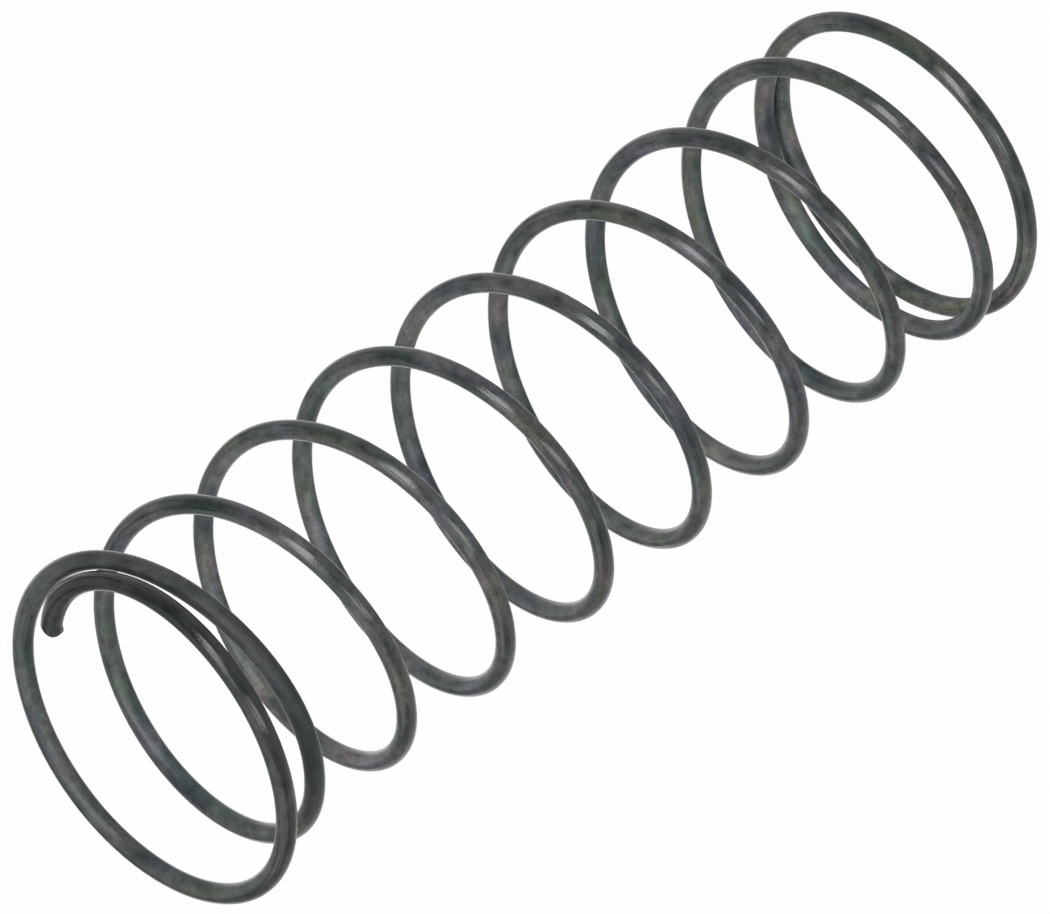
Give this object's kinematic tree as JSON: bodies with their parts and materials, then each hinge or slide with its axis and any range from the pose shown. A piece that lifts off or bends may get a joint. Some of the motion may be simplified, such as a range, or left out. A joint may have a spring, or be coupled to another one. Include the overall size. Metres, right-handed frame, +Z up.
{
  "type": "shock absorber spring",
  "caption": "Right-hand compression coil spring of round blackened steel wire, closed and unground at both ends, one end turn wider; slides over a small shock absorber.",
  "frame": {"origin": "on the spring's axis, level with the lowest point of the lower end turn", "axes": "+Z up the spring's axis, from the plain closed end to the wider end turn; the lower tip of the wire lies at +X"},
  "size_m": [0.0237, 0.0246, 0.0693],
  "materials": {
    "blackened_steel": "black oxide, satin, slightly mottled"
  },
  "bodies": {
    "root": {"coil_spring": "blackened_steel"}
  },
  "joints": []
}
